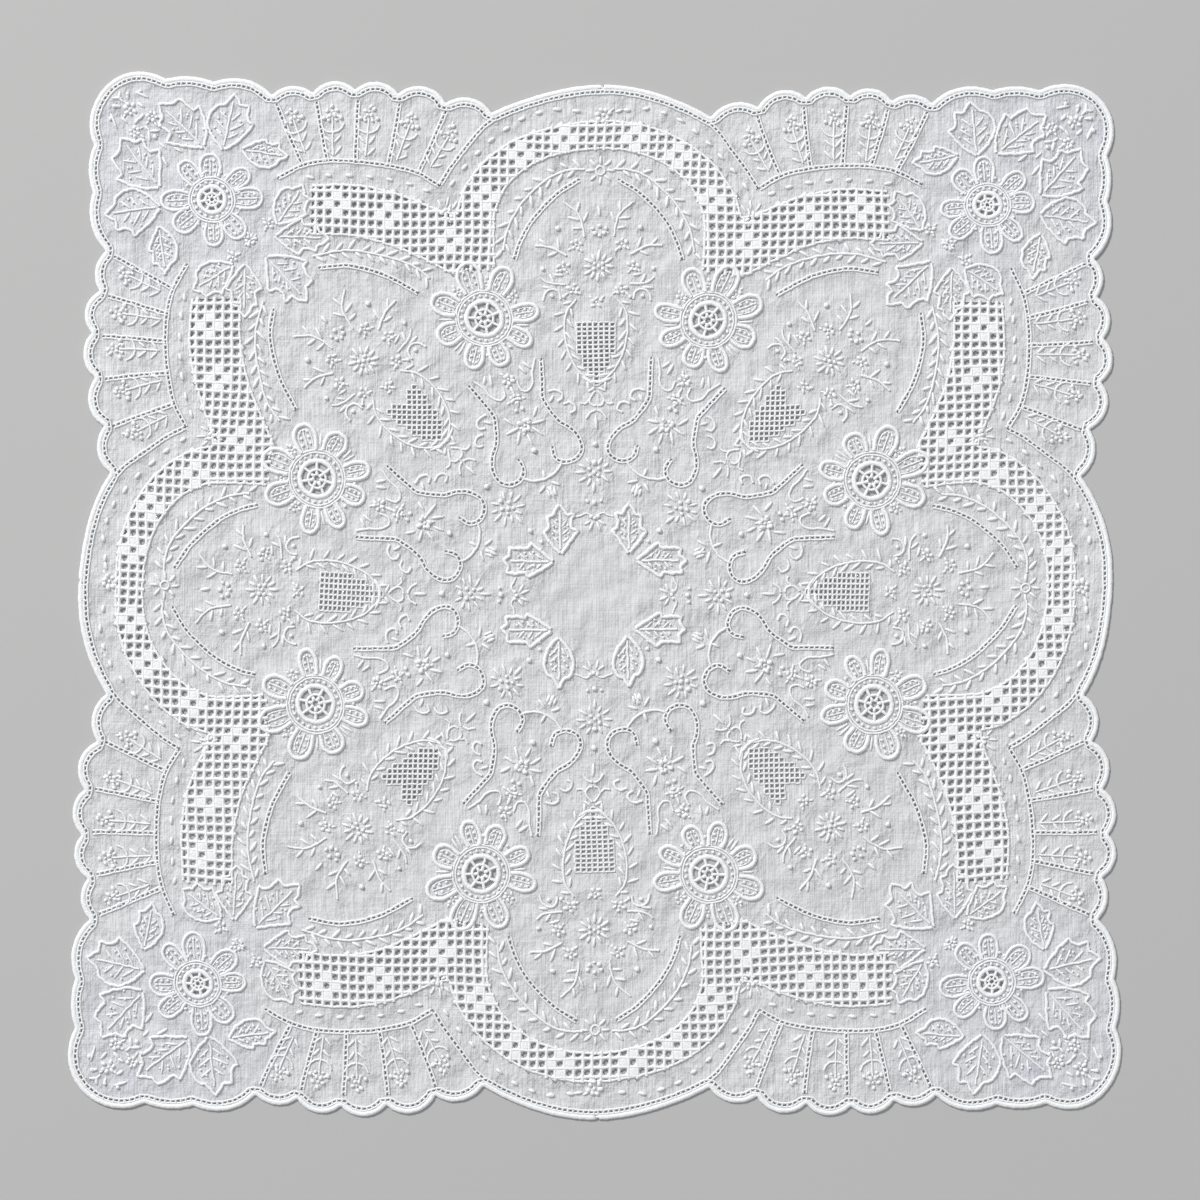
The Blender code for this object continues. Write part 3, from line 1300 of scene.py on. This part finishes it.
def floret(ring, count):
    """A small flower: a ring of uneven dashes round one knot, with a short dash on either side."""
    motif = Motif()
    for knot in range(count):
        angle = 2 * math.pi * (knot + 0.25 + chance.uniform(-0.2, 0.2)) / count
        reach = ring * chance.uniform(0.82, 1.15)
        middle = np.array((reach * math.cos(angle), reach * math.sin(angle)))
        angle += chance.uniform(-0.9, 0.9)
        half_length = ring * chance.uniform(0.4, 0.62) * np.array((math.cos(angle), math.sin(angle)))
        motif.dash(middle - half_length, middle + half_length, ring * chance.uniform(0.7, 0.95))
    motif.knot(0.0, 0.0, ring * 0.6)
    for side in (-1, 1):
        angle = math.degrees(side * chance.uniform(0.5, 1.2)) + chance.choice((0, 180))
        motif.ray((0, 0), angle, ring * 1.2, ring * chance.uniform(2.0, 2.5), 0.8)
    return motif


def wheel(hole, spokes):
    """A needle-lace wheel that fills a round hole."""
    motif = Motif()
    for spoke in range(spokes):
        angle = 2 * math.pi * spoke / spokes
        way = np.array((math.cos(angle), math.sin(angle)))
        motif.cord(straight(way * hole * 0.55, way * (hole + 0.3), 0.8), 0.5)
        motif.dash(way * hole * 0.14, way * hole * 0.56, hole * 0.25)
    motif.cord(circle((0, 0), hole * 0.6, 0.8), 0.45, closed=True)
    motif.cord(circle((0, 0), hole * 0.26, 0.6), 0.32, closed=True)
    return motif


RING_PETALS = (
    # direction in degrees, length and width as shares of the usual
    (113, 1.0, 1.0), (67, 1.05, 1.12), (18, 1.01, 1.0), (334, 0.9, 1.0),
    (284, 0.95, 0.8), (249, 0.91, 0.86), (207, 0.93, 0.78), (170, 0.98, 0.8),
)
ring_flower = flower(RING_PETALS, 9.1, 17.6, 3.35, RING_WHEEL_RADIUS, 1.6, 0.68)
for degrees, reach in ((90, 11.6), (42, 11.9), (142, 11.3)):
    ring_flower.add(floret(1.3, 5), outwards(degrees, reach))
for degrees in (182, 188, 194, 305, 311, 356, 350):
    ring_flower.ray((0, 0), degrees, 10.0, 14.4, 0.75)
for degrees in (228, 266):
    for slip, reach in ((-7, 9.8), (6, 10.2), (0, 12.0)):
        ring_flower.knot(*outwards(degrees + slip, reach), 1.15)


def work_flower(names, motif, middle, hole, ring_width, turns):
    """Works a flower, its satin ring and its wheel, by their three names."""
    flower_name, ring_name, wheel_name = names
    work(flower_name, Motif().add(motif, middle), turns)
    work(ring_name, Motif().add(satin_ring(hole, ring_width), middle), turns, flatten=0.5)
    work(wheel_name, Motif().add(wheel(hole, SPOKES), middle), turns, lift=-0.1, flatten=0.9)


SPOKES = 7
work_flower(("ring_flower", "satin_ring", "ring_wheel"), ring_flower, RING_FLOWER,
            RING_WHEEL_RADIUS, 1.6, EIGHTHS)

# %% Corner flower
CORNER_PETALS = tuple((45 * k + 4 * (-1) ** k, (0.95, 1.0, 1.04, 0.97)[k % 4], (1.12, 0.95, 1.05)[k % 3])
                      for k in range(8))
corner_flower = flower(CORNER_PETALS, 7.3, 15.4, 3.0, CORNER_WHEEL_RADIUS, 1.4, 0.5)
for k in range(8):
    for slip, reach in ((-5, 8.9), (6, 9.3)):
        corner_flower.knot(*outwards(45 * k + 22.5 + slip, reach), 1.05)
work_flower(("corner_flower", "corner_satin_ring", "corner_wheel"), corner_flower, CORNER_FLOWER,
            CORNER_WHEEL_RADIUS, 1.5, QUARTERS)

# %% [markdown]
# ## Leaves
# Every leaf is drawn on a length of one, stretched to the length wanted. Its left and right halves
# each take one of four outlines, so that few leaves are alike, and inside are a midrib, side veins and
# seed knots.

# %% Leaf drawing
# each half outline is (how far along, how far across), as shares of the leaf's length
LOBED = ((0.0, 0.02), (0.24, 0.2), (0.46, 0.35), (0.51, 0.23), (0.64, 0.22), (0.77, 0.26), (0.79, 0.12),
         (0.88, 0.1), (1.0, 0.0))
BROAD = ((0.0, 0.02), (0.14, 0.18), (0.32, 0.33), (0.5, 0.43), (0.55, 0.33), (0.66, 0.31), (0.83, 0.31),
         (0.82, 0.15), (0.9, 0.11), (1.0, 0.0))
BLUNT = ((0.0, 0.02), (0.24, 0.19), (0.46, 0.35), (0.53, 0.25), (0.7, 0.27), (0.9, 0.24), (0.88, 0.12),
         (1.0, 0.0))
SMOOTH = ((0.0, 0.02), (0.2, 0.24), (0.42, 0.37), (0.62, 0.36), (0.78, 0.27), (0.8, 0.15), (1.0, 0.0))


def leaf(left, right, length, cord_radius=0.5, wide=1.0):
    """A leaf from its base at the middle to its tip, along +Y, from the outlines of its two halves."""
    motif = Motif()
    for side, half_outline in ((1, right), (-1, left)):
        flank = np.array([(side * across * wide, along) for along, across in half_outline]) * length
        flank[1:-1] += [(chance.uniform(-0.02, 0.02) * length, chance.uniform(-0.02, 0.02) * length)
                        for _ in flank[1:-1]]
        motif.cord(resample(flank, 0.8), cord_radius)
        for share, spread in ((0.2, 0.6), (0.36, 0.62), (0.54, 0.6)):
            edge = np.interp(share + 0.14, [along for along, _ in half_outline],
                             [across for _, across in half_outline]) * wide
            slip = chance.uniform(-0.025, 0.025)
            start = np.array((side * 0.03, share + slip)) * length
            end = np.array((side * edge * spread, share + 0.14 - slip)) * length
            motif.dash(start, end, 0.75)
            motif.knot(side * edge * 0.62 * length, (share + 0.02 + slip) * length, 0.9)
            motif.knot(side * edge * 0.34 * length, (share + 0.13 + 2 * slip) * length, 0.8)
    motif.cord(straight((0, 0.08 * length), (0, 0.84 * length), 1.6), cord_radius * 0.62)
    return motif


def grown(motif, base, tip, left, right, cord_radius=0.5, wide=1.0):
    """Adds a leaf from a base to a tip."""
    way = np.subtract(tip, base)
    length = float(np.linalg.norm(way))
    degrees = math.degrees(math.atan2(way[1], way[0])) - 90
    motif.add(leaf(left, right, length, cord_radius, wide), base, degrees)


def leafy(motif, run, radius=0.28, step=2.6, leaf_length=3.0, spread=35.0, width=0.8, first=0.6):
    """Adds a stem with dashes that leave it on the left and the right in turn."""
    run = resample(run, 1.3)
    motif.cord(run, radius)
    distance = first
    side = 1
    while distance < run_length(run):
        place, heading = along_path(run, distance)
        angle = math.radians(heading + side * spread + chance.uniform(-10, 10))
        way = np.array((math.cos(angle), math.sin(angle)))
        motif.dash(place + way * 0.6, place + way * (0.6 + leaf_length * chance.uniform(0.8, 1.15)), width)
        side = -side
        distance += step / 2


# %% Inner leaf clusters
clusters = Motif()
grown(clusters, (103.3, 116.7), (95.4, 129.2), BROAD, SMOOTH, 0.46, 0.95)
grown(clusters, (103.5, 112.6), (86.6, 112.2), LOBED, LOBED, 0.46)
clusters.add(floret(1.4, 5), (105.9, 116.9))
clusters.add(floret(1.3, 5), (111.2, 111.8))
work("inner_leaves", clusters, EIGHTHS, wobble=0.17)
middle_leaves = Motif()
grown(middle_leaves, (105.8, 105.8), (92.4, 92.4), BROAD, LOBED, 0.5)
work("middle_leaf", middle_leaves, QUARTERS, wobble=0.17)

# %% Corner leaves
corner_leaves = Motif()
grown(corner_leaves, (115.0, 141.0), (100.4, 138.6), SMOOTH, LOBED, 0.5, 0.88)
grown(corner_leaves, (121.2, 140.8), (118.9, 158.6), BROAD, SMOOTH, 0.5, 1.06)
grown(corner_leaves, (127.8, 141.4), (143.6, 155.0), BROAD, LOBED, 0.5, 0.95)
work("corner_leaves", corner_leaves, EIGHTHS, wobble=0.2)

# %% [markdown]
# ## The wreath in the middle
# Eight leaves stand round the plain middle, joined by wavy threads. The upper two are toothed, the
# ones at the sides are blunt, and the lower two are smooth.

# %% Wreath
wreath = Motif()
wreath.curve([(0.6, 24.7), (2.6, 25.8), (4.4, 25.0), (6.0, 24.6)], 1.0, 0.3)
wreath.ray((0.4, 24.0), -35, 1.0, 3.8, 0.9)
wreath.ray((0.4, 24.0), -72, 1.0, 4.2, 0.9)
wreath.knot_each(((1.2, 24.6, 1.2), (14.6, 17.2, 1.3), (2.2, 29.6, 1.2)))
work("wreath", wreath, EIGHTHS)
for name, half_outline, wide, turns in (
    ("wreath_top_leaves", LOBED, 1.0, EIGHTHS[:2]),
    ("wreath_side_leaves", BLUNT, 1.0, EIGHTHS[2:4] + EIGHTHS[6:]),
    ("wreath_foot_leaves", SMOOTH, 0.8, EIGHTHS[4:6]),
):
    leaves = Motif()
    grown(leaves, (10.8, 13.2), (11.2, 28.8), half_outline, half_outline, 0.6, wide)
    work(name, leaves, turns, wobble=0.2)

# %% [markdown]
# ## Vines, sprigs and dots
# Two leafy stems run inside the arch and along the lobe, a row of small satin dots follows the band,
# and each panel of the fan holds a sprig with a bud.

# %% Vines and dots
vines = Motif()
arch_vine = smooth([(4.6, 136.0), (10.0, 135.6), (15.2, 133.5), (20.0, 129.7), (24.2, 125.4), (27.4, 120.6),
                    (29.6, 115.4), (30.4, 109.4)])
leafy(vines, arch_vine, 0.38, 4.4, 3.5, 42, 1.2)
lobe_vine = smooth([(91.5, 106.4), (83.0, 108.6), (75.2, 108.6), (66.0, 106.6), (59.0, 103.8), (54.0, 100.0)])
leafy(vines, lobe_vine, 0.38, 4.2, 3.5, 40, 1.2)
strip_dots = ((47.0, 130.8), (43.2, 135.9), (39.1, 140.3), (34.9, 144.5), (30.2, 148.3), (25.4, 151.8),
              (20.0, 154.0), (14.2, 155.2), (8.0, 154.6))
for (x, y), (next_x, next_y) in zip(strip_dots, strip_dots[1:] + ((2.5, 154.6),)):
    way = np.array((next_x - x, next_y - y))
    way = way / np.linalg.norm(way)
    vines.dash(np.array((x, y)) - way * 1.3, np.array((x, y)) + way * 1.3, 1.35)
for x, y in ((55.2, 128.6), (60.8, 130.6), (67.2, 131.8), (73.6, 132.3), (80.2, 132.5), (87.0, 132.4),
             (93.0, 131.8)):
    vines.dash((x - 1.3, y - 0.2), (x + 1.3, y + 0.2), 1.2)
vines.add(floret(1.5, 6), (48.8, 120.6))
vines.ray((48.8, 120.6), 95, 2.6, 6.0)
vines.ray((48.8, 120.6), 60, 2.6, 5.6)
vines.ray((48.8, 120.6), 130, 2.6, 5.4)
work("vine", vines, EIGHTHS)

# %% Fan sprigs
FAN_SPRIGS = (
    # foot and bud of the sprig in each panel of the fan
    ((54.6, 135.6), (48.0, 147.6)), ((65.6, 137.6), (61.4, 152.0)), ((75.4, 138.4), (75.2, 154.2)),
    ((85.6, 138.2), (87.0, 153.8)), ((94.6, 139.2), (99.8, 152.4)),
)


def sprig(length):
    """A stem with leaves, curled arms and a bud at its top, along +Y."""
    motif = Motif()
    motif.cord(straight((0, 0.04 * length), (0, 0.84 * length), 1.8), 0.3)
    for side in (1, -1):
        motif.dash((side * 0.4, 0.06 * length), (side * 3.0, 0.22 * length), 0.9)
        motif.dash((side * 0.4, 0.3 * length), (side * 2.7, 0.46 * length), 0.9)
        motif.cord([(side * 0.3, 0.52 * length), (side * 1.7, 0.54 * length), (side * 2.9, 0.6 * length),
                    (side * 3.6, 0.7 * length)], 0.34)
        motif.knot(side * 2.7, 0.83 * length, 1.5)
        motif.knot(side * 1.2, 0.78 * length, 1.1)
    motif.add(floret(1.5, 5), (0, 0.97 * length))
    return motif


fan_sprigs = Motif()
for foot, bud in FAN_SPRIGS:
    way = np.subtract(bud, foot)
    fan_sprigs.add(sprig(float(np.linalg.norm(way))), foot, math.degrees(math.atan2(way[1], way[0])) - 90)
work("fan_sprig", fan_sprigs, EIGHTHS)

# %% [markdown]
# ## Medallions
# Eight equal medallions stand round the cloth. Each is symmetric about its own outward line, so half
# of it is drawn with the star's middle at (0, 0) and worked sixteen times, mirrored and not.

# %% Half a medallion
MEDALLION = (0.0, 104.3)

half = Motif()
for degrees, outer in ((60, 4.7), (31, 5.3), (0, 4.9), (-31, 5.2), (-60, 4.6)):
    half.ray((0, 0), degrees, 2.2, outer, 1.05)
for x, y in ((7.3, 7.2), (11.0, 0.2), (7.5, -7.2)):
    half.add(floret(1.45, 5), (x, y))
half.knot_each(((1.3, 0.9, 1.25), (1.4, -0.8, 1.25), (1.5, 11.0, 1.5), (2.2, 12.6, 1.3),
                (13.4, 12.6, 1.8), (17.4, -0.4, 1.5)))
half.curve([(4.8, 9.8), (5.4, 13.6), (7.0, 17.4), (11.2, 20.9)], 1.2, 0.34)
half.dash_each((((5.6, 12.6), (8.9, 12.8)), ((6.4, 15.4), (10.2, 16.2)), ((5.2, 14.6), (3.7, 18.0)),
                ((7.2, 17.8), (6.6, 21.4))), 1.0)
half.curve([(10.2, 3.9), (12.6, 5.2), (15.6, 6.6), (20.2, 6.9)], 1.2, 0.4)
half.dash_each((((12.4, 5.6), (13.6, 9.8)), ((13.0, 4.8), (16.2, 3.9)), ((16.6, 7.0), (19.0, 9.2))), 1.0)
half.curve([(9.9, -5.6), (12.8, -5.4), (15.8, -4.8), (17.8, -3.2)], 1.2, 0.34)
half.curve([(11.4, -10.4), (12.0, -7.8), (14.4, -7.0), (16.4, -8.4), (17.0, -10.8)], 1.0, 0.38)
half.dash_each((((10.6, -2.8), (14.0, -2.2)), ((13.4, -5.2), (15.2, -2.2)),
                ((14.0, -6.6), (17.6, -6.4))), 0.95)
half.knot_each(((14.2, -9.2, 1.4), (10.4, -9.6, 1.3)))

spray = smooth([(6.4, -10.4), (9.3, -14.4), (10.1, -19.6), (9.6, -24.6), (8.0, -29.4), (5.4, -33.4),
                (1.0, -37.0)])
leafy(half, spray, 0.34, 3.9, 3.6, 44, 1.0, 1.0)
half.dash((4.9, -34.9), (0.9, -37.2), 1.0)
half.dash((0.5, -38.2), (3.0, -39.6), 0.9)
half.curve([(0.4, -39.4), (1.7, -40.8), (2.3, -42.4), (1.5, -43.8), (0.3, -44.0)], 0.8, 0.34)
half.curve([(2.4, -42.0), (3.6, -43.4), (5.2, -43.2)], 0.9, 0.32)
half.curve([(0.2, -45.4), (1.8, -46.0), (3.2, -48.0)], 1.0, 0.36)
for degrees, inner, outer in ((62, 2.6, 5.3), (28, 3.0, 5.4), (0, 2.6, 6.0), (-34, 2.8, 5.8),
                              (-66, 2.4, 4.9)):
    half.ray((0, -65.2), degrees, inner, outer, 0.95)
half.knot_each(((1.5, -64.2, 1.4), (1.3, -66.4, 1.2)))
work("medallion", Motif().add(half, MEDALLION), SIXTEENTHS)

middle_line = Motif()
middle_line.dash_each((((0, 2.0), (0, 5.6)), ((0, -2.0), (0, -5.2)), ((0, 16.6), (0, 19.8)),
                       ((0, -47.0), (0, -51.6)), ((0, -68.6), (0, -72.0))), 1.1)
middle_line.knot_each(((0, 0, 1.2), (0, 13.4, 1.4), (0, 10.2, 1.2), (0, -56.2, 1.9), (0, -62.2, 1.7),
                       (0, -65.4, 1.4), (0, -75.2, 1.8), (0, -80.2, 1.3)))
middle_line.add(floret(1.4, 5), (0, -11.6))
work("medallion_line", Motif().add(middle_line, MEDALLION), POINTS_OF_STAR)

# %% [markdown]
# ## The fill between the scrolls
# Hooks, a sprig flower and small rays fill the space between the two pin-stitched scrolls. The fill is
# mirrored about the line between two medallions, so again only half of each pair is drawn.

# %% Scroll fill
fill = Motif()
fill.curve([(19.8, 75.2), (20.5, 71.2), (20.3, 67.4), (21.8, 64.6), (24.0, 64.8), (25.2, 67.6)], 1.1, 0.36)
fill.curve([(15.4, 64.6), (13.2, 65.2), (11.2, 64.4), (10.8, 62.6), (12.4, 61.6)], 0.9, 0.42)
fill.curve([(10.4, 60.6), (8.6, 61.4), (6.9, 60.4), (6.6, 58.8), (8.2, 58.0)], 0.9, 0.42)
fill.curve([(10.3, 41.8), (12.2, 39.2), (14.8, 37.4), (15.8, 37.0)], 1.1, 0.42)
fill.dash_each((((22.6, 70.0), (24.9, 72.8)), ((21.0, 72.0), (23.9, 73.9)), ((18.7, 59.8), (19.5, 56.2)),
                ((15.6, 55.2), (20.3, 54.4)), ((16.2, 50.6), (19.7, 53.0)), ((13.6, 63.6), (14.8, 61.0)),
                ((10.4, 35.2), (13.9, 36.0)), ((13.9, 34.9), (13.7, 31.5)),
                ((12.0, 31.8), (13.0, 34.4))), 1.05)
fill.add(floret(1.3, 5), (25.8, 61.6))
fill.knot_each(((21.2, 55.2, 1.6), (20.9, 52.4, 1.6), (23.2, 58.8, 1.4)))
work("scroll_fill", fill, SIXTEENTHS)

fill_line = Motif()
fill_line.add(floret(1.5, 6), (0.0, 57.8))
fill_line.add(floret(1.5, 6), (0.0, 73.6))
fill_line.knot(0.0, 49.6, 1.9)
for far_end, near_end, width in ((55.0, 51.4, 1.0), (43.2, 40.0, 1.1), (36.6, 33.4, 1.1), (71.2, 67.8, 1.0)):
    fill_line.dash((0.0, far_end), (0.0, near_end), width)
work("scroll_fill_line", Motif().add(fill_line, degrees=-22.5), POINTS_OF_STAR)

# %% [markdown]
# ## Sprays in the corners and at the arch
# Small flowers of dashes with rays fill the tips of the corners, and a star hangs from the arch.

# %% Corner and arch sprays
corner_spray = Motif()
corner_spray.add(floret(1.5, 6), (145.4, 150.6))
corner_spray.dash_each((
    ((146.6, 157.0), (151.4, 158.4)), ((156.4, 158.8), (156.4, 155.6)), ((148.2, 153.4), (150.4, 155.2)),
    ((142.6, 145.8), (146.0, 146.0)), ((141.6, 150.4), (143.4, 150.6)), ((150.0, 149.6), (148.0, 151.2)),
    ((154.0, 158.6), (153.6, 155.8)), ((134.4, 139.0), (137.6, 141.0)),
), 1.05)
corner_spray.knot_each(((149.8, 158.8, 1.4), (142.6, 147.6, 1.4), (157.8, 153.8, 1.4)))
work("corner_spray", corner_spray, EIGHTHS)
corner_line = Motif()
corner_line.add(floret(1.6, 6), (152.8, 152.8))
corner_line.knot(144.0, 144.0, 1.5)
corner_line.ray((152.8, 152.8), 45, 3.0, 6.0)
corner_line.ray((144.0, 144.0), 225, 2.6, 5.6)
corner_line.ray((144.0, 144.0), 45, 2.4, 5.0)
work("corner_line", corner_line, QUARTERS)

arch_spray = Motif()
arch_spray.add(floret(1.8, 7), (0.6, 153.2))
arch_spray.dash((4.0, 154.0), (7.0, 154.8), 1.1)
for degrees in range(0, 360, 45):
    arch_spray.ray((0.5, 135.6), degrees, 1.9, 4.8, 1.0)
arch_spray.cord(circle((0.5, 135.6), 1.4, 0.8), 0.32, closed=True)
work("arch_spray", arch_spray, QUARTERS)

# %% [markdown]
# ## The cloth puckers where it is worked
# Every stitch draws the linen in a little round itself, while the plain middle stays smooth. How near
# each corner of the linen's mesh is to a stitch is stored on the mesh as an attribute, which the weave
# reads to make its puckers deeper there.

# %% Pucker the linen
PUCKER_REACH = 2.2
NEAR_STITCH = 2.0
EVERY_SO_MANY_CORNERS = 12

embroidery = [piece for piece in bpy.data.objects
              if piece.type == "MESH" and cotton.name in piece.data.materials]
stitch_places = np.vstack([flat_places(piece)[::EVERY_SO_MANY_CORNERS] for piece in embroidery])
stitch_tree = KDTree(len(stitch_places))
for index, (x, y) in enumerate(stitch_places):
    stitch_tree.insert((x, y, 0.0), index)
stitch_tree.balance()
distances = np.array([stitch_tree.find((x, y, 0.0))[2] for x, y in flat_places(linen_cloth)])
worked = linen_cloth.data.attributes.new("worked", "FLOAT", "POINT")
worked.data.foreach_set("value", np.exp(-distances / PUCKER_REACH))
print("share of the linen near a stitch:", round(float((distances < NEAR_STITCH).mean()), 2))
